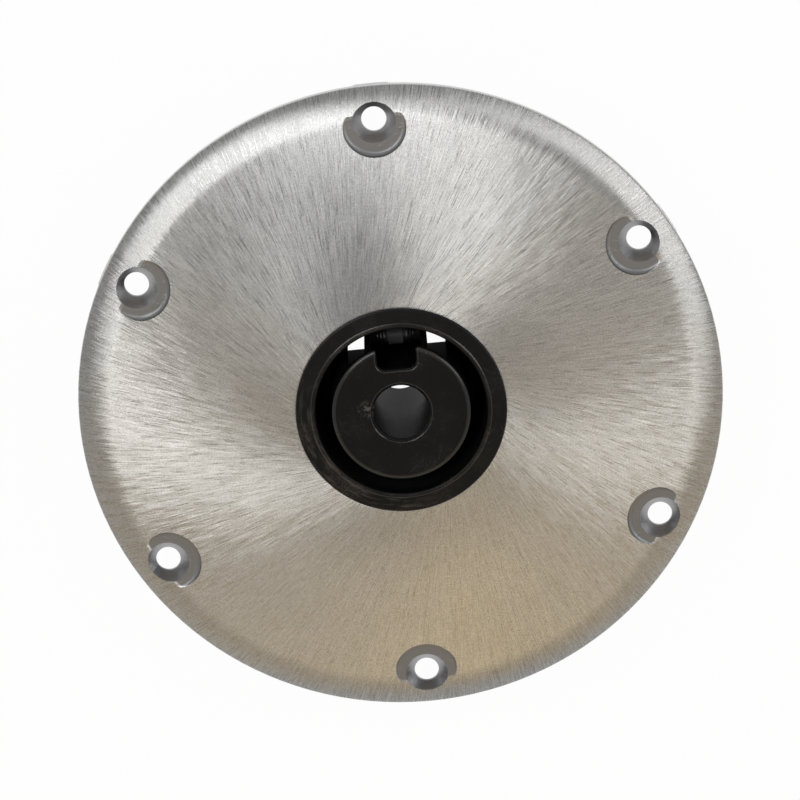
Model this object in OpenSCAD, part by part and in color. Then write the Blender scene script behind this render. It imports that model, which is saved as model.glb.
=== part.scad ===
// Boat seat pedestal base: a domed cast deck plate with a moulded plug-in socket.
// The origin is the centre of the deck plane, under the plate's rim. +Z points up out of the deck,
// and +Y points to the first mounting hole and to the key notch of the socket.

/* [Deck plate] */
// Outer diameter of the plate
plate_d = 228.6; // [200:0.1:260]
// Thickness of the cast shell
plate_wall = 4; // [3:0.5:5]
// Width of the rim, in which the shallow crown turns over towards the edge
rim_w = 12.3; // [9:0.1:18]
// Slope of the crown where it meets the rim, in degrees
shoulder_slope = 9.45; // [6:0.05:11]
// Slope of the rim where it meets the edge, in degrees
edge_slope = 29; // [24:0.5:34]
// Height of the plate's edge above the deck
edge_h = 2.5; // [1.5:0.1:3]
// Rounding of the plate's outer edge
edge_r = 0.8; // [0.3:0.1:1]

/* [Mounting holes] */
// Number of mounting holes
hole_count = 6; // [3:1:8]
// Distance from the plate's edge to the middle of a mounting hole
bolt_inset = 12.1; // [11:0.1:16]
// Diameter of a mounting hole
hole_d = 8.8; // [6:0.1:10]
// Largest diameter of the countersink
countersink_d = 15.2; // [12:0.1:17]
// Depth of the countersink below the pocket's floor
countersink_h = 4.7; // [2:0.1:4.8]
// Depth of the flat pocket round each countersink, below the dome at the hole's middle
pocket_sink = 0.6; // [0.3:0.1:1.4]
// Diameter of the pocket milled into the dome
pocket_d = 23; // [20:0.5:28]
// How far the pocket's centre lies inboard of its hole
pocket_inset = 0.8; // [0:0.1:2]
// Radius at the foot of the pocket's wall
pocket_fillet = 1.8; // [0.3:0.1:2.5]
// Wall left round a pocket under the shell
boss_wall = 2; // [1:0.5:4]

/* [Underside of the plate] */
// Thickness of a stiffening rib
plate_rib_t = 4; // [2:0.5:6]
// Height of the ribs' lower edge above the deck
plate_rib_lift = 1.5; // [0.5:0.5:4]
// Wall of the hub tube that holds the socket
hub_wall = 4; // [3:0.5:6]
// Reach of the hub below the deck
hub_depth = 20; // [14:1:30]

/* [Socket] */
// Bore of the socket, for a post of 60.3 mm
socket_d = 60.4; // [60.4:0.1:62]
// Wall of the sleeve
sleeve_wall = 3.2; // [2.5:0.1:5]
// Reach of the socket below the deck
socket_depth = 46.8; // [44:0.1:60]
// Thickness of the floor that the post stands on
socket_floor_t = 3; // [2:0.5:5]
// Outer diameter of the flange that covers the hub's mouth
flange_d = 74.4; // [73:0.1:84]
// Width of the flat land that the plate has outside the flange
land_margin = 0.5; // [0.2:0.1:2]
// Thickness of the flange at its outer edge
flange_edge_t = 1; // [0.8:0.1:2]
// Rise of the flange's face from its edge to its inner bead
flange_rise = 0.4; // [0.1:0.1:1]
// Width of the rounded bead round the mouth
bead_w = 1.7; // [1:0.1:2]
// Running space between the sleeve and the hub
sleeve_gap = 0.2; // [0.1:0.05:0.4]

/* [Core] */
// Diameter of the core's flat top
core_d = 49; // [46:0.5:50]
// Extra diameter at the core's foot, from its draft
core_draft = 1; // [0:0.1:2]
// Height of the core's top above the deck
core_top_z = 17.4; // [16:0.1:20]
// Thickness of the core's top
core_top_t = 3.2; // [2.5:0.1:5]
// Rounding of the core's upper edge
core_edge_r = 1.1; // [0.5:0.1:2]
// Wall of the core's skirt
skirt_wall = 2.5; // [2:0.1:4]
// Bore for the post's centre pin of 19 mm
pin_bore_d = 19.6; // [19.3:0.1:21]
// Chamfer at the mouth of the pin bore
pin_bore_chamfer = 1.1; // [0.5:0.1:1.5]
// Wall of the tube round the pin bore
tube_wall = 2.5; // [2:0.1:3.5]
// Thickness of the ribs inside the core
core_rib_t = 2; // [1.5:0.1:3]

/* [Key notch and latch bay] */
// Width of the notch in the core's top
notch_w = 13.8; // [12.5:0.1:15]
// Distance from the axis to the notch's inner edge
notch_y = 15.8; // [15:0.1:18]
// Radius of the notch's inner corners
notch_r = 2.8; // [1:0.1:4]
// Radius of the notch's outer corners, at the core's side
notch_lip_r = 1.3; // [0.8:0.1:2]
// Chamfer along the notch's upper edge
notch_chamfer = 0.7; // [0.3:0.1:1]
// Clear width between the two walls of the latch bay
bay_w = 18; // [17:0.1:20]
// Thickness of the bay's walls
bay_wall = 2; // [1.5:0.1:2.5]
// Distance from the axis to the face of the cross rib behind the bay
bay_back_y = 6.5; // [5:0.1:7]
// Width of the window beside each wall of the bay
window_w = 6.6; // [6:0.1:8]
// Depth below the deck at which the windows end
window_foot = 28; // [24:1:34]
// Depth below the deck at which the wide mouth of the bay ends
bay_foot = 24; // [23:1:26]
// Width of the slot that the latch's nose comes through
nose_slot_w = 9.4; // [9:0.1:11]
// Depth below the deck at which that slot ends
nose_slot_foot = 42; // [41.5:0.1:43]

/* [Latch] */
// Distance of the latch's pivot from the axis
pivot_y = 19.8; // [19:0.1:20]
// Depth of the latch's pivot below the deck
pivot_depth = 15; // [14:0.1:17]
// Diameter of the barrel that turns on the pin
barrel_d = 7.2; // [6.5:0.1:7.6]
// Width of the barrel between the spring's coils
barrel_w = 5.4; // [4.5:0.1:6]
// Diameter of the spigots inside the spring's coils
spigot_d = 4.5; // [4.2:0.1:4.6]
// Width of the arm
arm_w = 11.5; // [11:0.1:12]
// Thickness of the arm
arm_t = 3.2; // [2.5:0.1:3.5]
// Space between the arm at rest and the skirt that stops it
arm_rest_gap = 0.3; // [0.2:0.05:0.6]
// Depth below the deck of the arm's upper end
arm_head = 22; // [21.5:0.1:23]
// Depth below the deck of the arm's lower end
arm_foot = 40; // [39:0.1:41]
// Width of the nose
nose_w = 8.4; // [7:0.1:8.8]
// Space between the socket's wall and the nose's tip when the latch is out
nose_tip_gap = 1; // [0.6:0.1:1.4]
// Depth below the deck at which the nose's ramp starts
ramp_head = 28; // [26:0.5:31]
// Depth below the deck at which the ramp reaches the tip
ramp_foot = 36.5; // [34:0.5:38]
// Height of the nose's lower face above the arm's end
nose_lift = 1; // [0:0.1:2]
// Diameter of the pivot pin
pivot_pin_d = 3; // [2.5:0.1:3.2]
// Running space round the pin in the latch, on the radius
pivot_gap = 0.08; // [0.02:0.01:0.1]
// Running space round the pin in the bay's walls, on the radius
pin_seat_gap = 0.02; // [0.01:0.01:0.05]

/* [Latch spring] */
// Diameter of the spring wire
wire_d = 1.2; // [0.8:0.1:1.2]
// Radius of the coils at the middle of the wire
coil_r = 3; // [2.9:0.1:3.1]
// Distance between two turns along the pin
coil_pitch = 1.3; // [1.25:0.05:1.35]
// Distance from the middle of the latch to the outermost turn
coil_outer_x = 5.8; // [5.7:0.1:6]
// Depth of the spring's bridge below the deck
bridge_depth = 28; // [26:0.5:30]

/* [Bushing screws] */
// Number of screws that hold the socket in the hub
screw_count = 3; // [2:1:4]
// Depth of the screws below the deck
screw_depth = 12; // [9:1:14]
// Diameter of a screw's shank
screw_d = 3.8; // [3:0.1:4.2]
// Diameter of a screw's head
screw_head_d = 7.2; // [6:0.1:8]
// Height of a screw's head
screw_head_h = 2.4; // [2:0.1:3]
// Plastic left between a screw's tip and the socket
screw_tip_wall = 0.8; // [0.5:0.1:1.5]
// Height of the flat pad under a screw's head
screw_pad_h = 1; // [0.8:0.1:2]
// Space round a screw's shank, on the radius
screw_gap = 0.05; // [0.02:0.01:0.1]

/* [Hidden] */
$fn = 96;
// Steps along the crown arc, the rim arc and the rounded edge
crown_steps = 12;
rim_steps = 10;
edge_steps = 4;
// Overshoot of a cut past the face it opens
eps = 1;

// The crown and rim arcs are tangent at the shoulder, and their slopes set their radii and heights
plate_r = plate_d / 2;
shoulder_r = plate_r - rim_w;
crown_arc_r = shoulder_r / sin(shoulder_slope);
rim_arc_r = rim_w / (sin(edge_slope) - sin(shoulder_slope));
crown_top = edge_h + rim_w * tan((shoulder_slope + edge_slope) / 2)
    + shoulder_r * tan(shoulder_slope / 2);
crown_cz = crown_top - crown_arc_r;
rim_cx = shoulder_r - rim_arc_r * sin(shoulder_slope);
rim_cz = crown_cz + (crown_arc_r - rim_arc_r) * cos(shoulder_slope);
// Centre of the rounding between the rim arc and the upright edge
edge_cx = plate_r - edge_r;
edge_cz = rim_cz + sqrt(pow(rim_arc_r - edge_r, 2) - pow(edge_cx - rim_cx, 2));
edge_a = atan2(edge_cx - rim_cx, edge_cz - rim_cz);

// Height of the dome's surface at a distance from the axis
function dome_z(x) = x < shoulder_r ? crown_cz + sqrt(pow(crown_arc_r, 2) - pow(x, 2))
    : rim_cz + sqrt(pow(rim_arc_r, 2) - pow(x - rim_cx, 2));

bolt_r = plate_r - bolt_inset;
hole_step = 360 / hole_count;
pocket_floor_z = dome_z(bolt_r) - pocket_sink;
boss_r = pocket_d / 2 + boss_wall;

socket_r = socket_d / 2;
sleeve_r = socket_r + sleeve_wall;
hub_in_r = sleeve_r + sleeve_gap;
hub_r = hub_in_r + hub_wall;

// The flange sits on a flat land, which ends where it meets the dome
flange_r = flange_d / 2;
land_r = flange_r + land_margin;
flange_seat_z = dome_z(land_r);
flange_top_z = flange_seat_z + flange_edge_t;
bead_r = bead_w / 2;
bead_cx = socket_r + bead_r;
// The bead stands out of the flange's face by less than half its width
bead_sink = 0.45;
bead_cz = flange_top_z + flange_rise - bead_sink;

core_r = core_d / 2;
core_foot_r = core_r + core_draft / 2;
socket_foot_z = -socket_depth;
core_under_z = core_top_z - core_top_t;
skirt_in_r = core_r - skirt_wall;
pin_bore_r = pin_bore_d / 2;
tube_r = pin_bore_r + tube_wall;
core_h = core_top_z + socket_depth;
// How deep the core's inner ribs bite into its skirt and its tube
rib_bite = skirt_wall / 2;
core_rib_angles = [210, 270, 330];

// The arcs of the notch's outer corners reach this far past the core's side, and so meet it at an angle
lip_sink = 0.1;
lip_centre_r = core_r - notch_lip_r + lip_sink;

bay_half = bay_w / 2;
bay_out = bay_half + bay_wall;
// The cuts for the bay's mouth and the nose slot start between the tube and the skirt
mouth_y = (tube_r + skirt_in_r) / 2;

pivot_z = -pivot_depth;
pivot_pin_r = pivot_pin_d / 2;
pin_end_gap = 0.2;
pivot_pin_l = 2 * (bay_out - pin_end_gap);
barrel_r = barrel_d / 2;
// The arm's outer corners lie just inside the skirt when the latch is out
arm_face_y = sqrt(pow(skirt_in_r, 2) - pow(arm_w / 2, 2)) - arm_rest_gap;
nose_tip_y = socket_r - nose_tip_gap;
// The neck's upper end is this share of the barrel's width
neck_share = 0.7;
// The spigots end just short of the bay's pin bosses
pin_boss_l = 2.5;
pin_boss_wall = 1.5;
pin_boss_r = pivot_pin_r + pin_boss_wall;
spigot_gap = 0.3;
spigot_half = bay_half - pin_boss_l - spigot_gap;

screw_r = screw_d / 2;
screw_pad_margin = 1.2;
screw_pad_r = screw_head_d / 2 + screw_pad_margin;
screw_seat_r = hub_r + screw_pad_h;
screw_tip_r = socket_r + screw_tip_wall;
screw_tip_gap = 0.2;
screw_l = screw_seat_r - screw_tip_r - screw_tip_gap;
screw_step = 360 / screw_count;
// One screw lies opposite the latch, so that both halves of the part mirror each other
screw_turn = 270;
recess_w = 0.9;
recess_l = 4.2;
recess_depth = 1.3;

// Wire of the latch spring, one half from the seat on the bore's tube to the bridge
coil_start_a = -60;
coil_end_a = 540;
coil_step_a = 15;
wire_sides = 8;
wire_gap = 0.05;
coil_turns = (coil_end_a - coil_start_a) / 360;
leg_seat_y = sqrt(pow(tube_r, 2) - pow(coil_outer_x - wire_d / 2, 2)) + wire_d / 2 + wire_gap;
leg_l = (pivot_y + coil_r * cos(coil_start_a) - leg_seat_y) / (-sin(coil_start_a));
leg_start = [coil_outer_x, leg_seat_y,
    pivot_z + coil_r * sin(coil_start_a) - leg_l * cos(coil_start_a)];
coil_inner_x = coil_outer_x - coil_pitch * coil_turns;
bridge_y = arm_face_y - arm_t - wire_d / 2 - wire_gap;
bridge_bend_r = 1.5;
bridge_z = -bridge_depth;

// Points along an arc; angles are measured from the upward direction towards +X
function arc(centre, r, a0, a1, steps) =
    [for (i = [0 : steps]) let (a = a0 + (a1 - a0) * i / steps) centre + r * [sin(a), cos(a)]];

// Angle on the crown arc, set in by a depth, at a distance from the axis
function crown_angle(x, depth) = asin(x / (crown_arc_r - depth));

// Crown and rim arcs from a distance x0 out to the angle end_a, set in by a depth
function dome_arcs(x0, end_a, depth) = concat(
    arc([0, crown_cz], crown_arc_r - depth, crown_angle(x0, depth), shoulder_slope, crown_steps),
    arc([rim_cx, rim_cz], rim_arc_r - depth,
        shoulder_slope + (end_a - shoulder_slope) / rim_steps, end_a, rim_steps - 1));

// Angle at which a set-in rim arc meets the deck plane
function deck_angle(depth) = acos(-rim_cz / (rim_arc_r - depth));

function reversed(list) = [for (i = [len(list) - 1 : -1 : 0]) list[i]];

// Section of the shell with its hub, flange land, rounded edge and deck face
module shell_section() {
    polygon(concat(
        [[hub_in_r, flange_seat_z]],
        dome_arcs(land_r, edge_a, 0),
        arc([edge_cx, edge_cz], edge_r, edge_a + (90 - edge_a) / edge_steps, 90, edge_steps - 1),
        [[plate_r, 0]],
        reversed(dome_arcs(hub_r, deck_angle(plate_wall), plate_wall)),
        [[hub_r, -hub_depth], [hub_in_r, -hub_depth]]));
}

// Section of the space under the middle of the shell, which trims bosses and ribs
module under_section() {
    depth = plate_wall / 2;
    polygon(concat([[0, 0], [0, crown_top - depth]], dome_arcs(hub_r / 2, deck_angle(depth), depth)));
}

// Cut for one mounting hole: bore, countersink and flat pocket, on the hole's own axis
module hole_cut() {
    translate([0, 0, -eps]) cylinder(h = crown_top, d = hole_d);
    translate([0, 0, pocket_floor_z - countersink_h])
        cylinder(h = countersink_h, d1 = hole_d, d2 = countersink_d);
    translate([-pocket_inset, 0, pocket_floor_z])
        rotate_extrude() {
            square([pocket_d / 2 - pocket_fillet, crown_top]);
            translate([0, pocket_fillet]) square([pocket_d / 2, crown_top]);
            translate([pocket_d / 2 - pocket_fillet, pocket_fillet]) circle(pocket_fillet, $fn = 48);
        }
}

// Boss and rib under one mounting hole, before they are trimmed to the shell
module hole_support() {
    rib_from = hub_in_r + hub_wall / 2;
    translate([bolt_r, 0, 0]) cylinder(h = crown_top, r = boss_r);
    translate([rib_from, -plate_rib_t / 2, plate_rib_lift])
        cube([bolt_r - boss_r / 2 - rib_from, plate_rib_t, crown_top]);
}

// Cast deck plate with its hub, ribs and mounting holes
module base_plate() {
    color("silver")
    difference() {
        union() {
            rotate_extrude($fn = 180) shell_section();
            intersection() {
                rotate_extrude($fn = 180) under_section();
                union() for (i = [0 : hole_count - 1]) rotate(90 + i * hole_step) hole_support();
            }
            for (i = [0 : screw_count - 1]) rotate(screw_turn + i * screw_step)
                translate([hub_r - hub_wall / 2, 0, -screw_depth]) rotate([0, 90, 0])
                    cylinder(h = hub_wall / 2 + screw_pad_h, r = screw_pad_r);
        }
        for (i = [0 : hole_count - 1]) rotate(90 + i * hole_step)
            translate([bolt_r, 0, 0]) hole_cut();
        for (i = [0 : screw_count - 1]) rotate(screw_turn + i * screw_step)
            translate([hub_in_r - eps, 0, -screw_depth]) rotate([0, 90, 0])
                cylinder(h = hub_wall + screw_pad_h + 2 * eps, r = screw_r + screw_gap);
    }
}

// Section of the sleeve, its flange with the rounded bead, and the floor
module sleeve_section() {
    edge_round = flange_edge_t / 2;
    translate([socket_r, socket_foot_z])
        square([sleeve_wall, socket_depth + flange_seat_z + flange_edge_t / 2]);
    translate([core_foot_r - skirt_wall, socket_foot_z])
        square([socket_r + sleeve_wall / 2 - core_foot_r + skirt_wall, socket_floor_t]);
    polygon([[socket_r, flange_seat_z], [flange_r - edge_round, flange_seat_z],
        [flange_r - edge_round, flange_top_z], [bead_cx, flange_top_z + flange_rise],
        [socket_r, flange_top_z]]);
    translate([flange_r - edge_round, flange_seat_z + edge_round]) circle(edge_round, $fn = 48);
    translate([bead_cx, bead_cz]) circle(bead_r, $fn = 48);
}

// Section of the core's top and skirt, with a rounded upper edge and a slight draft
module core_section() {
    edge_z = core_top_z - core_edge_r;
    difference() {
        union() {
            polygon([[0, socket_foot_z], [core_foot_r, socket_foot_z], [core_r, edge_z],
                [core_r - core_edge_r, core_top_z], [0, core_top_z]]);
            translate([core_r - core_edge_r, edge_z]) circle(core_edge_r, $fn = 48);
        }
        translate([tube_r, socket_foot_z - eps])
            square([skirt_in_r - tube_r, core_under_z - socket_foot_z + eps]);
        translate([-eps, socket_foot_z - eps]) square([pin_bore_r + eps, core_h + 2 * eps]);
    }
}

// Ribs between the tube and the skirt, and the walls and floor of the latch bay
module core_ribs() {
    rib_h = core_under_z - socket_foot_z + core_top_t / 2;
    translate([0, 0, socket_foot_z]) {
        for (a = core_rib_angles) rotate(a)
            translate([tube_r - tube_wall / 2, -core_rib_t / 2, 0])
                cube([skirt_in_r + rib_bite - tube_r + tube_wall / 2, core_rib_t, rib_h]);
        intersection() {
            difference() {
                cylinder(h = rib_h, r = skirt_in_r + rib_bite);
                translate([0, 0, -eps]) cylinder(h = rib_h + 2 * eps, r = tube_r - tube_wall / 2);
            }
            union() {
                for (side = [-1, 1])
                    translate([side * (bay_half + bay_wall / 2), bay_back_y - core_rib_t / 2, 0])
                        translate([-bay_wall / 2, 0, 0]) cube([bay_wall, core_r, rib_h]);
                translate([-core_r, bay_back_y - core_rib_t, 0]) cube([2 * core_r, core_rib_t, rib_h]);
                translate([-bay_half - bay_wall / 2, bay_back_y - core_rib_t / 2, 0])
                    cube([bay_w + bay_wall, core_r, socket_floor_t]);
            }
        }
    }
}

// Plan of the key notch, open towards the socket's mouth and rounded at its corners
module notch_plan() {
    half = notch_w / 2;
    lip_x = half + notch_lip_r;
    lip_y = sqrt(pow(lip_centre_r, 2) - pow(lip_x, 2));
    reach = (core_foot_r + eps) / lip_centre_r;
    translate([-half, notch_y + notch_r]) square([notch_w, core_r]);
    translate([notch_r - half, notch_y]) square([notch_w - 2 * notch_r, core_r]);
    for (side = [-1, 1])
        translate([side * (half - notch_r), notch_y + notch_r]) circle(notch_r, $fn = 64);
    for (side = [-1, 1])
        difference() {
            polygon([[side * (half - eps), lip_y], [side * lip_x, lip_y],
                [side * lip_x * reach, lip_y * reach], [side * (half - eps), lip_y * reach]]);
            translate([side * lip_x, lip_y]) circle(notch_lip_r, $fn = 48);
        }
}

// Chamfer along the notch's upper edge, from cones at its corners and straight wedges between
module notch_edge_cut() {
    half = notch_w / 2;
    c = notch_chamfer;
    lift = 0.5;
    translate([0, 0, core_top_z - c]) {
        for (side = [-1, 1]) {
            translate([side * (half - notch_r), notch_y + notch_r, 0])
                cylinder(h = c + lift, r1 = notch_r, r2 = notch_r + c + lift, $fn = 64);
            translate([0, notch_y + notch_r, 0]) rotate([-90, 0, 0])
                linear_extrude(core_r)
                    polygon([[0, 0], [side * half, 0], [side * (half + c + lift), -c - lift],
                        [0, -c - lift]]);
        }
        translate([notch_r - half, 0, 0]) rotate([90, 0, 90])
            linear_extrude(notch_w - 2 * notch_r)
                polygon([[notch_y, 0], [notch_y - c - lift, c + lift], [core_r, c + lift], [core_r, 0]]);
    }
}

// Openings of the core: notch, mouth of the bay, nose slot, windows and pin holes
module core_cuts() {
    mouth_l = core_r + eps - mouth_y;
    window_l = core_r + eps - bay_back_y;
    translate([0, 0, core_under_z - eps]) linear_extrude(core_top_t + 2 * eps) notch_plan();
    notch_edge_cut();
    translate([-bay_half, mouth_y, -bay_foot]) cube([bay_w, mouth_l, core_under_z + bay_foot]);
    translate([-nose_slot_w / 2, mouth_y, -nose_slot_foot]) cube([nose_slot_w, mouth_l, nose_slot_foot]);
    for (side = [-1, 1])
        translate([side * (bay_out + window_w / 2) - window_w / 2, bay_back_y, -window_foot])
            cube([window_w, window_l, core_under_z + window_foot]);
    translate([-bay_out - eps, pivot_y, pivot_z]) rotate([0, 90, 0])
        cylinder(h = 2 * (bay_out + eps), r = pivot_pin_r + pin_seat_gap);
}

// Moulded bushing: flange, sleeve, floor and core in one piece
module socket_bushing() {
    color("dimgray")
    difference() {
        union() {
            difference() {
                union() {
                    rotate_extrude($fn = 180) core_section();
                    core_ribs();
                }
                core_cuts();
            }
            rotate_extrude($fn = 180) sleeve_section();
            for (side = [-1, 1])
                translate([side * bay_half, pivot_y, pivot_z]) rotate([0, -side * 90, 0])
                    difference() {
                        translate([0, 0, -bay_wall / 2])
                            cylinder(h = pin_boss_l + bay_wall / 2, r = pin_boss_r);
                        translate([0, 0, -bay_wall - eps])
                            cylinder(h = pin_boss_l + bay_wall + 2 * eps, r = pivot_pin_r + pin_seat_gap);
                    }
        }
        translate([0, 0, core_top_z - pin_bore_chamfer])
            cylinder(h = pin_bore_chamfer + eps, r1 = pin_bore_r, r2 = pin_bore_r + pin_bore_chamfer + eps);
        for (i = [0 : screw_count - 1]) rotate(screw_turn + i * screw_step)
            translate([screw_tip_r, 0, -screw_depth]) rotate([0, 90, 0])
                cylinder(h = sleeve_wall + eps, r = screw_r + screw_gap);
    }
}

// Side view of the latch's arm and nose, drawn in the Y-Z plane
module arm_profile() {
    inner_y = arm_face_y - arm_t;
    polygon([[inner_y, -arm_head], [arm_face_y, -arm_head], [arm_face_y, -arm_foot], [inner_y, -arm_foot]]);
}

module nose_profile() {
    polygon([[arm_face_y - arm_t / 2, -ramp_head], [arm_face_y, -ramp_head], [nose_tip_y, -ramp_foot],
        [nose_tip_y, nose_lift - arm_foot], [arm_face_y - arm_t / 2, nose_lift - arm_foot]]);
}

// Solid of a side view, centred on the Y-Z plane
module across(width) {
    translate([-width / 2, 0, 0]) rotate([90, 0, 90]) linear_extrude(width) children();
}

// Spring-loaded latch that turns on its pin in the bay
module latch() {
    neck_half = barrel_r * neck_share;
    color("darkslategray")
    difference() {
        union() {
            translate([-barrel_w / 2, pivot_y, pivot_z]) rotate([0, 90, 0])
                cylinder(h = barrel_w, r = barrel_r);
            translate([-spigot_half, pivot_y, pivot_z]) rotate([0, 90, 0])
                cylinder(h = 2 * spigot_half, d = spigot_d);
            across(barrel_w)
                polygon([[pivot_y - neck_half, pivot_z], [pivot_y + neck_half, pivot_z],
                    [arm_face_y, -arm_head - arm_t], [arm_face_y - arm_t, -arm_head - arm_t]]);
            across(arm_w) arm_profile();
            across(nose_w) nose_profile();
        }
        translate([-spigot_half - eps, pivot_y, pivot_z]) rotate([0, 90, 0])
            cylinder(h = 2 * (spigot_half + eps), r = pivot_pin_r + pivot_gap);
    }
}

// Steel pin through the bay's walls and the latch
module latch_pin() {
    color("lightgray")
    translate([-pivot_pin_l / 2, pivot_y, pivot_z]) rotate([0, 90, 0])
        cylinder(h = pivot_pin_l, r = pivot_pin_r);
}

// Half of the spring's path on the +X side: leg, coil, and the leg down to the bridge's bend
function coil_point(a) = [coil_outer_x - coil_pitch * (a - coil_start_a) / 360,
    pivot_y + coil_r * cos(a), pivot_z + coil_r * sin(a)];
function bend_point(a) = [coil_inner_x - bridge_bend_r * (1 - cos(a)), bridge_y,
    bridge_z + bridge_bend_r * (1 - sin(a))];
half_path = concat([leg_start],
    [for (a = [coil_start_a : coil_step_a : coil_end_a]) coil_point(a)],
    [for (a = [0 : 30 : 90]) bend_point(a)]);
mirrored_path = [for (i = [len(half_path) - 1 : -1 : 0])
    [-half_path[i].x, half_path[i].y, half_path[i].z]];
spring_path = concat(half_path, mirrored_path);

function unit(v) = v / norm(v);
function across_path(u, t) = unit(u - (u * t) * t);
function path_tangent(p, i) = unit(p[min(i + 1, len(p) - 1)] - p[max(i - 1, 0)]);

// Round wire swept along a path, with frames that never twist
module wire(path, d, sides) {
    count = len(path);
    tangents = [for (i = [0 : count - 1]) path_tangent(path, i)];
    ups = [for (i = 0, u = across_path([1, 0, 0], tangents[0]); i < count;
        i = i + 1, u = i < count ? across_path(u, tangents[i]) : u) u];
    points = [for (i = [0 : count - 1], k = [0 : sides - 1])
        let (a = 360 * k / sides)
            path[i] + d / 2 * (cos(a) * ups[i] + sin(a) * cross(tangents[i], ups[i]))];
    skin = [for (i = [0 : count - 2], k = [0 : sides - 1]) let (n = (k + 1) % sides)
        [i * sides + k, (i + 1) * sides + k, (i + 1) * sides + n, i * sides + n]];
    caps = [[for (k = [0 : sides - 1]) k], [for (k = [sides - 1 : -1 : 0]) (count - 1) * sides + k]];
    polyhedron(points, concat(skin, caps), convexity = 6);
}

// Double torsion spring on the latch's spigots: its ends push on the bore's tube, its bridge on the arm
module latch_spring() {
    color("gray") wire(spring_path, wire_d, wire_sides);
}

// Pan-head screw through the hub into the sleeve, number i of the set
module bushing_screw(i) {
    head_round = screw_head_h / 2;
    color("gainsboro")
    rotate(screw_turn + i * screw_step)
        translate([screw_tip_r + screw_tip_gap, 0, -screw_depth]) rotate([0, 90, 0])
        difference() {
            union() {
                cylinder(h = screw_l + screw_head_h / 2, r = screw_r, $fn = 48);
                translate([0, 0, screw_l])
                    rotate_extrude($fn = 64) {
                        square([screw_head_d / 2 - head_round, screw_head_h]);
                        square([screw_head_d / 2, screw_head_h - head_round]);
                        translate([screw_head_d / 2 - head_round, screw_head_h - head_round])
                            intersection() {
                                circle(head_round, $fn = 32);
                                square(head_round);
                            }
                    }
            }
            for (a = [0, 90]) rotate(a)
                translate([-recess_l / 2, -recess_w / 2, screw_l + screw_head_h - recess_depth])
                    cube([recess_l, recess_w, recess_depth + eps]);
        }
}

base_plate();
socket_bushing();
latch();
latch_pin();
latch_spring();
bushing_screw(0);  // bushing_screw_1
bushing_screw(1);  // bushing_screw_2
bushing_screw(2);  // bushing_screw_3
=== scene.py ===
import math

import bpy
from mathutils import Matrix, Vector


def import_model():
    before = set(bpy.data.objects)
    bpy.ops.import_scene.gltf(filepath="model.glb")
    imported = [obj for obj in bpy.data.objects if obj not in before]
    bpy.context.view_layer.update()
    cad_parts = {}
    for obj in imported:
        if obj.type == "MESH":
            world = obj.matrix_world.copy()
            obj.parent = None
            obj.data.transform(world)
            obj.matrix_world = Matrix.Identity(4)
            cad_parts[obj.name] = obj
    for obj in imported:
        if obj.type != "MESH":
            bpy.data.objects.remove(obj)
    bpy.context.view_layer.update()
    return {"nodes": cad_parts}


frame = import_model()
NODES = frame["nodes"]
MM = 0.001

# Sizes of the plate and the bushing, as in the CAD source
PLATE_R = 114.3 * MM
RIM_W = 12.3 * MM
EDGE_H = 2.5 * MM
SLOPE_IN = math.radians(9.45)
SLOPE_OUT = math.radians(29)
BOLT_R = 102.2 * MM
SINK_R = 7.6 * MM
SOCKET_R = 30.2 * MM
CORE_R = 24.5 * MM
BORE_R = 9.8 * MM
FLOOR_Z = -46.8 * MM

# Arcs of the plate's upper surface, worked out from them
SHOULDER = PLATE_R - RIM_W
CROWN_R = SHOULDER / math.sin(SLOPE_IN)
RIM_R = RIM_W / (math.sin(SLOPE_OUT) - math.sin(SLOPE_IN))
CROWN_TOP = EDGE_H + RIM_W * math.tan((SLOPE_IN + SLOPE_OUT) / 2) + SHOULDER * math.tan(SLOPE_IN / 2)
CROWN_CZ = CROWN_TOP - CROWN_R
RIM_CX = SHOULDER - RIM_R * math.sin(SLOPE_IN)
RIM_CZ = CROWN_CZ + (CROWN_R - RIM_R) * math.cos(SLOPE_IN)

# The brush strokes are straight lines that pass the axis at this distance
BRUSH_R = 16.4 * MM

# Strokes in mm: their width and length, how far along the line they have that width, and a seed
INNER_RING = (0.24, 8.0, 42.0, 0.0)
# Rings of fine strokes further out, which keep their width as the plate gets wider: where each fades in
OUTER_RINGS = (
    ((47.0, 54.0), (0.24, 8.0, 60.0, 9.0)),
    ((68.0, 76.0), (0.25, 7.0, 84.0, 17.0)),
    ((92.0, 98.0), (0.26, 6.0, 104.0, 31.0)),
)
BOLD = (0.22, 14.0, 74.0, 53.0)
LONG = (0.9, 40.0, 70.0, 71.0)
SWING = (0.17, 9.0, 74.0, 91.0)

# Directions of the scuffs on the plastic in radians, and the place of the knock beside the bore
SCUFF_TURNS = (0.4, 1.1, 1.7, 2.3, 2.9)
KNOCK_X = -11.8 * MM
KNOCK_Y = 2.2 * MM

# Strengths of the glow that the floor shows to mirroring faces: under the bore, a lighter painted patch;
# under the part, a painted shadow; and outside it
GLOW_BORE_PAINTED_LIGHT = 0.42
GLOW_PAINTED_SHADOW = 0.16
GLOW_OUTSIDE = 0.85

FLOOR_HALF = 8.0
LAMP_FAR = 1.3
LAMP_SIZE = 0.55


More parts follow.
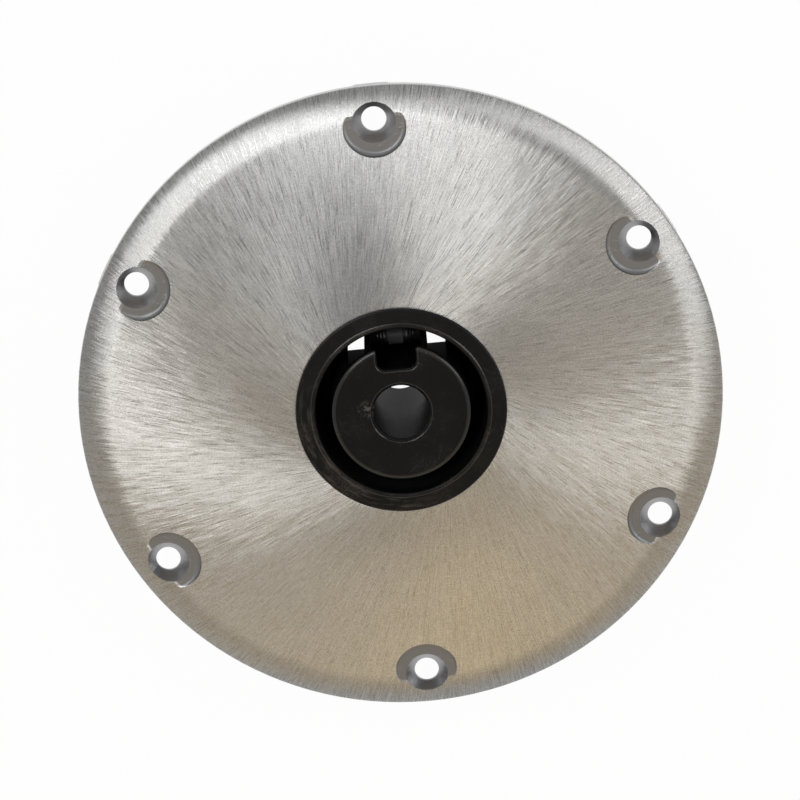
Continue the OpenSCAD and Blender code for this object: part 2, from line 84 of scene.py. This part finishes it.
class Tree:
    """Builds a node tree. Every argument for a socket may be a number, a tuple or another socket."""

    def __init__(self, tree):
        self.t = tree
        self.t.nodes.clear()

    def node(self, kind, **props):
        n = self.t.nodes.new(kind)
        for key, value in props.items():
            setattr(n, key, value)
        return n

    def put(self, sock, value):
        if isinstance(value, bpy.types.NodeSocket):
            self.t.links.new(value, sock)
        elif sock.type == "RGBA":
            sock.default_value = (*value, 1.0)
        else:
            sock.default_value = value

    def fill(self, node, values):
        """Fills a node's sockets, named or numbered, and gives its first output."""
        for key, value in values.items():
            self.put(node.inputs[key], value)
        return node.outputs[0]

    def math(self, op, *values):
        return self.fill(self.node("ShaderNodeMath", operation=op), dict(enumerate(values)))

    def chain(self, op, values):
        total = values[0]
        for value in values[1:]:
            total = self.math(op, total, value)
        return total

    def add(self, *values):
        return self.chain("ADD", values)

    def mul(self, *values):
        return self.chain("MULTIPLY", values)

    def sub(self, a, b):
        return self.math("SUBTRACT", a, b)

    def div(self, a, b):
        return self.math("DIVIDE", a, b)

    def hypot(self, a, b):
        return self.math("SQRT", self.add(self.mul(a, a), self.mul(b, b)))

    def step(self, value, lo, hi, a=0.0, b=1.0):
        """Goes smoothly from a to b while value goes from lo to hi."""
        n = self.node("ShaderNodeMapRange", interpolation_type="SMOOTHSTEP")
        return self.fill(n, dict(enumerate((value, lo, hi, a, b))))

    def band(self, value, rise, fall):
        """1 between the two pairs of limits, 0 outside them."""
        return self.mul(self.step(value, *rise), self.step(value, *fall, 1.0, 0.0))

    def xyz(self, x, y, z):
        return self.fill(self.node("ShaderNodeCombineXYZ"), {0: x, 1: y, 2: z})

    def split(self, vec):
        n = self.node("ShaderNodeSeparateXYZ")
        self.put(n.inputs[0], vec)
        return n.outputs[0], n.outputs[1], n.outputs[2]

    def scaled(self, vec, s):
        return self.fill(self.node("ShaderNodeVectorMath", operation="MULTIPLY"), {0: vec, 1: s})

    def agreement(self, a, b):
        """Dot product of two directions."""
        n = self.node("ShaderNodeVectorMath", operation="DOT_PRODUCT")
        self.fill(n, {0: a, 1: b})
        return n.outputs["Value"]

    def noise(self, vec, scale, detail, rough, distort=0.0):
        sockets = {"Vector": vec, "Scale": scale, "Detail": detail, "Roughness": rough, "Distortion": distort}
        return self.fill(self.node("ShaderNodeTexNoise"), sockets)

    def spots(self, vec, scale, size):
        """1 inside small round spots scattered at random, 0 elsewhere."""
        distance = self.fill(self.node("ShaderNodeTexVoronoi"), {"Vector": vec, "Scale": scale})
        return self.step(distance, size * 0.6, size, 1.0, 0.0)

    def mix(self, fac, a, b):
        """Mixes two numbers."""
        return self.fill(self.node("ShaderNodeMix", data_type="FLOAT"), {0: fac, 2: a, 3: b})

    def tint(self, fac, a, b):
        """Mixes two colours."""
        n = self.node("ShaderNodeMix", data_type="RGBA")
        self.fill(n, {0: fac, 6: a, 7: b})
        return n.outputs[2]

    def shaded(self, color, bright):
        """A colour made darker or brighter."""
        n = self.node("ShaderNodeMix", data_type="RGBA", blend_type="MULTIPLY")
        self.fill(n, {0: 1.0, 6: color, 7: self.xyz(bright, bright, bright)})
        return n.outputs[2]

    def bump(self, height, dist, strength, normal=None):
        n = self.node("ShaderNodeBump")
        if normal is not None:
            self.put(n.inputs["Normal"], normal)
        return self.fill(n, {"Height": height, "Distance": dist, "Strength": strength})

    def shader(self, color, rough, normal, **more):
        """A principled shader; more names other sockets, with underscores for spaces."""
        n = self.node("ShaderNodeBsdfPrincipled")
        self.fill(n, {name.replace("_", " "): value for name, value in more.items()})
        return self.fill(n, {"Base Color": color, "Roughness": rough, "Normal": normal})

    def blend(self, fac, a, b):
        """Mixes two shaders."""
        return self.fill(self.node("ShaderNodeMixShader"), {0: fac, 1: a, 2: b})

    def out(self, shader):
        self.put(self.node("ShaderNodeOutputMaterial").inputs[0], shader)


def material(name):
    m = bpy.data.materials.new(name)
    m.use_nodes = True
    return m, Tree(m.node_tree)


def dress(node, mat):
    """Gives a CAD node its finished material in every slot."""
    o = NODES[node]
    if not o.material_slots:
        o.data.materials.append(mat)
    for s in o.material_slots:
        s.material = mat


def object_place(t):
    return t.node("ShaderNodeTexCoord").outputs["Object"]


def polar(t):
    """Object coordinates, and the distance from the axis."""
    pos = object_place(t)
    x, y, z = t.split(pos)
    return pos, x, y, z, t.hypot(x, y)


def own_normal(t):
    return t.node("ShaderNodeNewGeometry").outputs["Normal"]


def dome_height(t, z, r):
    """Height of a point over the plate's upper surface: 0 on it, below 0 in a pocket or on the underside."""
    heights = []
    for radius, centre_x, centre_z in ((CROWN_R, 0.0, CROWN_CZ), (RIM_R, RIM_CX, RIM_CZ)):
        d = t.sub(r, centre_x)
        rise = t.math("SQRT", t.math("MAXIMUM", t.sub(radius ** 2, t.mul(d, d)), 0.0))
        heights.append(t.add(rise, centre_z))
    return t.sub(z, t.mix(t.math("GREATER_THAN", r, SHOULDER), *heights))


def dome_normal(t, x, y, r):
    """The smooth dome's normal where the mesh's own agrees with it, and the mesh's own elsewhere."""
    outside = t.math("GREATER_THAN", r, SHOULDER)
    lean = t.mix(outside, t.div(r, CROWN_R), t.div(t.sub(r, RIM_CX), RIM_R))
    up = t.math("SQRT", t.sub(1.0, t.mul(lean, lean)))
    smooth = t.xyz(t.mul(lean, t.div(x, r)), t.mul(lean, t.div(y, r)), up)
    own = own_normal(t)
    both = t.node("ShaderNodeMix", data_type="VECTOR")
    t.fill(both, {0: t.step(t.agreement(smooth, own), 0.9985, 0.9992), 4: own, 5: smooth})
    return both.outputs[1]


def brush_line(t, x, y, r):
    """The brush line through a point: how far along it the point lies, and the direction across it (x and y),
    which is the same all along it."""
    sa = t.div(BRUSH_R, t.math("MAXIMUM", r, BRUSH_R * 1.02))
    ca = t.math("SQRT", t.sub(1.0, t.mul(sa, sa)))
    ux, uy = t.div(x, r), t.div(y, r)
    nx = t.sub(t.mul(sa, ux), t.mul(ca, uy))
    ny = t.add(t.mul(sa, uy), t.mul(ca, ux))
    return t.mul(r, ca), nx, ny


def strokes(t, line, kind, detail=1.0):
    """Noise drawn out along the brush lines."""
    along, nx, ny = line
    width, length, at, seed = kind
    lanes = at / width
    place = t.xyz(t.mul(nx, lanes), t.mul(ny, lanes), t.add(t.div(along, length * MM), seed))
    return t.noise(place, 1.0, detail, 0.6)


def light_and_dark(t, noise, dark, light, depth):
    """1 where the noise is high, -depth where it is low, and 0 between."""
    return t.add(t.step(noise, *light), t.step(noise, *dark, -depth, 0.0))


def hole_frame(t, x, y, r):
    """From the nearest hole: how far outwards a point lies, its distance, and the hole's number."""
    sixth = math.pi / 3
    a = t.sub(t.math("ARCTAN2", y, x), math.pi / 2)
    turns = t.math("ROUND", t.div(a, sixth))
    a = t.sub(a, t.mul(turns, sixth))
    u = t.sub(t.mul(r, t.math("COSINE", a)), BOLT_R)
    v = t.mul(r, t.math("SINE", a))
    return u, t.hypot(u, v), turns


def brushed_face(t, pos, x, y, r):
    """The plate's upper face: brush strokes and grain in tone, height and roughness."""
    line = brush_line(t, x, y, r)
    fine = strokes(t, line, INNER_RING)
    for (lo, hi), kind in OUTER_RINGS:
        fine = t.mix(t.step(r, lo * MM, hi * MM), fine, strokes(t, line, kind))
    bold = strokes(t, line, BOLD)
    streak = t.add(light_and_dark(t, fine, (0.38, 0.47), (0.52, 0.60), 1.0),
                   light_and_dark(t, bold, (0.36, 0.43), (0.55, 0.61), 0.35))
    grain = t.noise(pos, 1900.0, 1.0, 0.5)
    shade = t.mul(streak, 0.19)
    cloud = t.noise(pos, 38.0, 3.0, 0.55)
    for noise, share in ((strokes(t, line, LONG), 0.12), (grain, 0.90), (cloud, 0.08)):
        shade = t.add(shade, t.mul(t.sub(noise, 0.5), share))

    # Painted shade darkens the face towards the flange, and on the rim, where it dims the highlight; with a
    # few specks of dirt
    painted_shade_flange = t.step(r, 42 * MM, 70 * MM, 0.88, 1.0)
    painted_shade_rim = t.step(r, SHOULDER, SHOULDER + 5 * MM, 1.0, 0.78)
    clean = t.sub(1.0, t.mul(t.spots(pos, 62.0, 0.022), 0.75))
    color = t.shaded((0.655, 0.653, 0.636), t.mul(t.add(1.0, shade), painted_shade_flange, painted_shade_rim, clean))

    # Single strokes swing a little to either side of the line
    swing = t.step(strokes(t, line, SWING, 0.0), 0.40, 0.60, -0.14, 0.14)
    nx, ny = line[1:]
    across = t.xyz(t.add(nx, t.mul(swing, ny)), t.sub(ny, t.mul(swing, nx)), 0.0)
    height = t.add(fine, t.mul(bold, 0.5), t.mul(grain, 0.12))
    normal = t.bump(height, 0.020 * MM, 0.5, dome_normal(t, x, y, r))
    rough = t.add(0.33, t.mul(streak, 0.075))
    return t.shader(color, rough, normal, Metallic=1.0, Anisotropic=1.0, Tangent=across)


def cast_and_milled(t, pos, x, y, r, top):
    """The pockets' floors and cones with turned rings, the rough underside and a painted highlight on the
    outer edge.
    """
    u, dist, turns = hole_frame(t, x, y, r)
    ring_marks = t.noise(t.xyz(t.mul(dist, 2600.0), t.mul(turns, 7.3), t.mul(u, 30.0)), 1.0, 2.0, 0.6)
    cast = t.noise(pos, 900.0, 4.0, 0.65)
    pits = t.spots(pos, 420.0, 0.16)
    near_hole = t.step(dist, 13.5 * MM, 14.5 * MM, 1.0, 0.0)
    inside = t.step(r, PLATE_R - 1.3 * MM, PLATE_R - 0.9 * MM, 1.0, 0.0)
    milled = t.mul(near_hole, inside, t.sub(1.0, top))
    sunk = t.mul(milled, t.step(dist, SINK_R - 0.15 * MM, SINK_R + 0.05 * MM, 1.0, 0.0))

    pocket = t.tint(ring_marks, (0.235, 0.237, 0.24), (0.33, 0.332, 0.335))
    cone = t.tint(ring_marks, (0.31, 0.31, 0.315), (0.42, 0.42, 0.425))
    color = t.tint(cast, (0.36, 0.36, 0.355), (0.46, 0.455, 0.45))
    color = t.tint(pits, color, (0.24, 0.24, 0.235))
    # A painted highlight brightens the outer edge; it also makes the lip hard to see that the hole bosses
    # have outside the plate's radius
    outer_edge_highlight = t.step(r, PLATE_R - 0.3 * MM, PLATE_R - 0.1 * MM)
    color = t.tint(outer_edge_highlight, color, (0.80, 0.80, 0.80))
    color = t.tint(milled, color, t.tint(sunk, pocket, cone))

    rough = t.mix(milled, 0.55, t.mix(sunk, 0.44, 0.28))
    chatter = t.noise(pos, 700.0, 2.0, 0.6)
    burrs = t.mul(t.step(t.noise(pos, 420.0, 1.0, 0.5), 0.60, 0.66), t.step(dist, 6.0 * MM, 7.4 * MM))
    cut = t.add(t.mul(ring_marks, 0.4), t.mul(chatter, 1.6), t.mul(burrs, 2.2))
    height = t.mix(milled, t.sub(cast, t.mul(pits, 0.6)), cut)
    return t.shader(color, rough, t.bump(height, 0.045 * MM, 0.55), Metallic=1.0)


def aluminium():
    m, t = material("Brushed aluminium")
    pos, x, y, z, r = polar(t)
    on_dome = t.step(dome_height(t, z, r), -0.30 * MM, -0.12 * MM)
    top = t.mul(on_dome, t.step(z, 1.2 * MM, 1.8 * MM))
    t.out(t.blend(top, cast_and_milled(t, pos, x, y, r, top), brushed_face(t, pos, x, y, r)))
    return m


def scuffs(t, x, y, z):
    """Short thin scratches in several directions."""
    found = 0.0
    for k, turn in enumerate(SCUFF_TURNS):
        c, s = math.cos(turn), math.sin(turn)
        across = t.add(t.mul(x, c), t.mul(y, s))
        along = t.sub(t.mul(y, c), t.mul(x, s))
        place = t.xyz(t.mul(across, 1500.0 + 210 * k), t.mul(along, 110.0), t.mul(z, 200.0))
        found = t.math("MAXIMUM", found, t.step(t.noise(place, 1.0, 1.0, 0.5, 0.9), 0.70, 0.78))
    return found


def plastic_color(t, pos, x, y, z, r, fine, haze, scratch):
    """Nearly black, with wear, scratches, dust, what a turning post has rubbed, and a painted highlight along
    the bead.
    """
    from_socket = t.sub(r, SOCKET_R)
    flange = t.mul(t.step(from_socket, 0.1 * MM, 0.8 * MM), t.step(z, 13.5 * MM, 14.2 * MM))
    bead_highlight = t.mul(flange, t.band(from_socket, (0.7 * MM, 1.0 * MM), (1.4 * MM, 1.7 * MM)))
    lower_left = t.mul(flange, t.step(t.add(x, y), -12 * MM, -45 * MM))
    worn = t.mul(t.step(haze, 0.46, 0.66), t.step(fine, 0.42, 0.6))
    wear = t.mul(worn, t.add(0.45, t.mul(lower_left, 0.8)))
    knock = t.step(t.hypot(t.sub(x, KNOCK_X), t.sub(y, KNOCK_Y)), 1.0 * MM, 4.2 * MM, 1.0, 0.0)
    knock = t.mul(knock, t.step(t.noise(pos, 620.0, 3.0, 0.7), 0.50, 0.60), t.step(z, 0.0, 5.0 * MM))
    rubbed = t.noise(t.xyz(t.mul(r, 900.0), t.mul(x, 130.0), t.mul(y, 130.0)), 1.0, 3.0, 0.6)

    color = t.tint(haze, (0.0018, 0.0018, 0.0024), (0.0056, 0.0053, 0.0052))
    color = t.tint(t.mul(wear, 0.8), color, (0.030, 0.026, 0.021))
    # A painted highlight, brownish, along the bead at the flange's inner edge, broken up by the wear noise
    color = t.tint(t.mul(bead_highlight, worn, 0.9), color, (0.05, 0.036, 0.022))
    color = t.tint(t.mul(scratch, t.step(haze, 0.40, 0.60), 0.45), color, (0.055, 0.053, 0.050))
    color = t.tint(t.mul(t.spots(pos, 520.0, 0.12), 0.35), color, (0.07, 0.068, 0.06))
    color = t.tint(t.mul(knock, 0.8), color, (0.10, 0.094, 0.085))
    return t.tint(t.mul(lower_left, t.step(rubbed, 0.48, 0.66), 0.7), color, (0.060, 0.054, 0.047))


def black_plastic():
    m, t = material("Black moulded plastic")
    pos, x, y, z, r = polar(t)
    fine = t.noise(pos, 1500.0, 3.0, 0.6)
    haze = t.noise(pos, 60.0, 4.0, 0.6)
    scratch = scuffs(t, x, y, z)
    color = plastic_color(t, pos, x, y, z, r, fine, haze, scratch)

    # Edges are polished by use: there the normal of the rounded edge leaves the face's own
    soft = t.fill(t.node("ShaderNodeBevel", samples=6), {"Radius": 0.6 * MM})
    edge = t.step(t.agreement(soft, own_normal(t)), 0.995, 0.93)
    core_edge = t.band(r, (CORE_R - 1.6 * MM, CORE_R - 1.2 * MM), (CORE_R + 0.1 * MM, CORE_R + 0.3 * MM))
    edge = t.math("MAXIMUM", edge, t.mul(core_edge, 0.4))

    rings = t.noise(t.xyz(t.mul(r, 1800.0), t.mul(z, 600.0), 0.0), 1.0, 2.0, 0.6)
    height = t.sub(t.add(t.mul(fine, 0.5), t.mul(rings, 0.35)), t.mul(scratch, 0.4))
    normal = t.bump(height, 0.03 * MM, 0.5, soft)
    rough = t.add(0.32, t.mul(haze, 0.14), t.mul(scratch, 0.08))
    face = t.shader(color, rough, normal, Specular_IOR_Level=0.20)
    # Painted light: a lighter colour for the skin deep in the socket
    deep_color_painted_light = t.tint(0.7, color, (0.026, 0.0245, 0.024))
    deep = t.shader(deep_color_painted_light, t.add(rough, 0.14), normal, Specular_IOR_Level=0.10)
    glossy = t.shader(color, t.add(0.16, t.mul(haze, 0.12)), normal, IOR=2.0)

    # Deep in the socket the skin is dull, and its colour is lighter as painted light for the light that
    # reaches it from below, but not in the pin bore
    below = t.step(z, 2.0 * MM, 14.0 * MM, 1.0, 0.0)
    bore = t.step(r, BORE_R + 0.6 * MM, BORE_R + 1.7 * MM, 1.0, 0.0)
    skin = t.blend(t.mul(below, t.sub(1.0, bore)), face, deep)
    t.out(t.blend(t.mul(edge, t.sub(1.0, below)), skin, glossy))
    return m


def latch_plastic():
    m, t = material("Latch plastic")
    pos = object_place(t)
    fine = t.noise(pos, 1300.0, 3.0, 0.6)
    flow = t.noise(t.scaled(pos, (300.0, 60.0, 60.0)), 1.0, 2.0, 0.5)
    # Grey plastic; the grey is partly painted light, raised to show the latch lit from below deep in the
    # socket
    color = t.tint(flow, (0.13, 0.13, 0.135), (0.24, 0.24, 0.245))
    t.out(t.shader(color, t.add(0.36, t.mul(fine, 0.12)), t.bump(fine, 0.02 * MM, 0.4)))
    return m


def steel(name, tone, rough, drawn_along):
    m, t = material(name)
    pos = object_place(t)
    drawn = t.noise(t.scaled(pos, drawn_along), 1.0, 2.0, 0.6)
    cloud = t.noise(pos, 240.0, 3.0, 0.6)
    color = t.shaded(tone, t.add(0.86, t.mul(drawn, 0.16), t.mul(cloud, 0.12)))
    t.out(t.shader(color, t.add(rough, t.mul(drawn, 0.14)), t.bump(drawn, 0.01 * MM, 0.4), Metallic=1.0))
    return m


def camera():
    """The photo's camera: 16.4 degrees off the plate's axis, 1.32 m away."""
    turn = Matrix.Identity(3)
    for angle, axis in ((0.01366, "Y"), (0.28683, "X"), (0.09597, "Z")):
        turn = turn @ Matrix.Rotation(angle, 3, axis)
    back = turn.transposed()
    data = bpy.data.cameras.new("camera")
    data.lens = 167.67
    data.sensor_width = 36.0
    data.shift_x = -0.00101
    data.shift_y = -0.00154
    data.clip_end = 100.0
    cam = bpy.data.objects.new("camera", data)
    bpy.context.scene.collection.objects.link(cam)
    cam.matrix_world = Matrix.Translation(back @ Vector((0, 0, 1.3231))) @ back.to_4x4()
    bpy.context.scene.camera = cam


def lamp(name, azimuth, elevation, energy):
    """A square white lamp that faces the plate's middle."""
    a, e = math.radians(azimuth), math.radians(elevation)
    place = Vector((math.cos(a) * math.cos(e), math.sin(a) * math.cos(e), math.sin(e))) * LAMP_FAR
    data = bpy.data.lights.new(name, "AREA")
    data.energy = energy
    data.shape = "SQUARE"
    data.size = LAMP_SIZE
    o = bpy.data.objects.new(name, data)
    o.matrix_world = Matrix.Translation(place) @ place.to_track_quat("Z", "Y").to_matrix().to_4x4()
    bpy.context.scene.collection.objects.link(o)


def floor():
    """A pale floor that the camera sees white, and that mirroring faces see with a painted shadow under the
    part and a lighter painted patch under the bore.
    """
    mesh = bpy.data.meshes.new("floor")
    corners = [(x * FLOOR_HALF, y * FLOOR_HALF, FLOOR_Z) for x, y in ((-1, -1), (1, -1), (1, 1), (-1, 1))]
    mesh.from_pydata(corners, [], [(0, 1, 2, 3)])
    o = bpy.data.objects.new("floor", mesh)
    bpy.context.scene.collection.objects.link(o)
    m, t = material("Pale floor")
    x, y, z = t.split(object_place(t))
    r = t.hypot(x, y)
    path = t.node("ShaderNodeLightPath").outputs
    mirror = t.math("MAXIMUM", path["Is Glossy Ray"], path["Is Transmission Ray"])
    matt = t.fill(t.node("ShaderNodeBsdfDiffuse"), {"Color": (0.82, 0.82, 0.82)})
    # Painted shadow under the part in what mirroring faces see, with a lighter painted patch under the bore
    painted_shadow = t.step(r, 75 * MM, 110 * MM, GLOW_PAINTED_SHADOW, GLOW_OUTSIDE)
    seen = t.mix(t.step(r, 11 * MM, 16 * MM), GLOW_BORE_PAINTED_LIGHT, painted_shadow)
    glow = t.fill(t.node("ShaderNodeEmission"), {"Strength": t.mix(mirror, 1.0, seen)})
    share = t.math("MAXIMUM", t.mul(path["Is Camera Ray"], 0.97), t.mul(mirror, 0.9))
    # Seen from below the floor is clear, so that the underside can be looked at
    clear = t.node("ShaderNodeBsdfTransparent").outputs[0]
    t.out(t.blend(t.node("ShaderNodeNewGeometry").outputs["Backfacing"], t.blend(share, matt, glow), clear))
    mesh.materials.append(m)


def world():
    """Plain studio light, warmer from the lower side of the photo; the camera sees it white."""
    w = bpy.data.worlds.new("studio")
    bpy.context.scene.world = w
    w.use_nodes = True
    t = Tree(w.node_tree)
    x, y, z = t.split(t.node("ShaderNodeTexCoord").outputs["Generated"])
    warm = t.mul(t.step(y, -0.15, -0.55), t.step(y, -1.0, -0.7))
    high = t.tint(warm, (0.385, 0.385, 0.395), (0.69, 0.55, 0.365))
    room = t.tint(t.step(z, 0.05, 0.55), (0.60, 0.60, 0.60), high)
    seen = t.node("ShaderNodeLightPath").outputs["Is Camera Ray"]
    sky = t.fill(t.node("ShaderNodeBackground"), {"Color": t.tint(seen, room, (1.0, 1.0, 1.0))})
    t.put(t.node("ShaderNodeOutputWorld").inputs[0], sky)


stainless = steel("Stainless steel", (0.60, 0.60, 0.61), 0.24, (2500.0, 300.0, 300.0))
dress("base_plate", aluminium())
dress("socket_bushing", black_plastic())
dress("latch", latch_plastic())
dress("latch_pin", stainless)
dress("latch_spring", steel("Spring wire", (0.30, 0.33, 0.32), 0.30, (900.0, 900.0, 900.0)))
for i in (1, 2, 3):
    dress("bushing_screw_%d" % i, stainless)

camera()
floor()
world()
lamp("key_right", 20.2, 45.5, 2.80)
lamp("key_left", 132.9, 59.6, 3.85)

bpy.context.scene.view_settings.view_transform = "Standard"
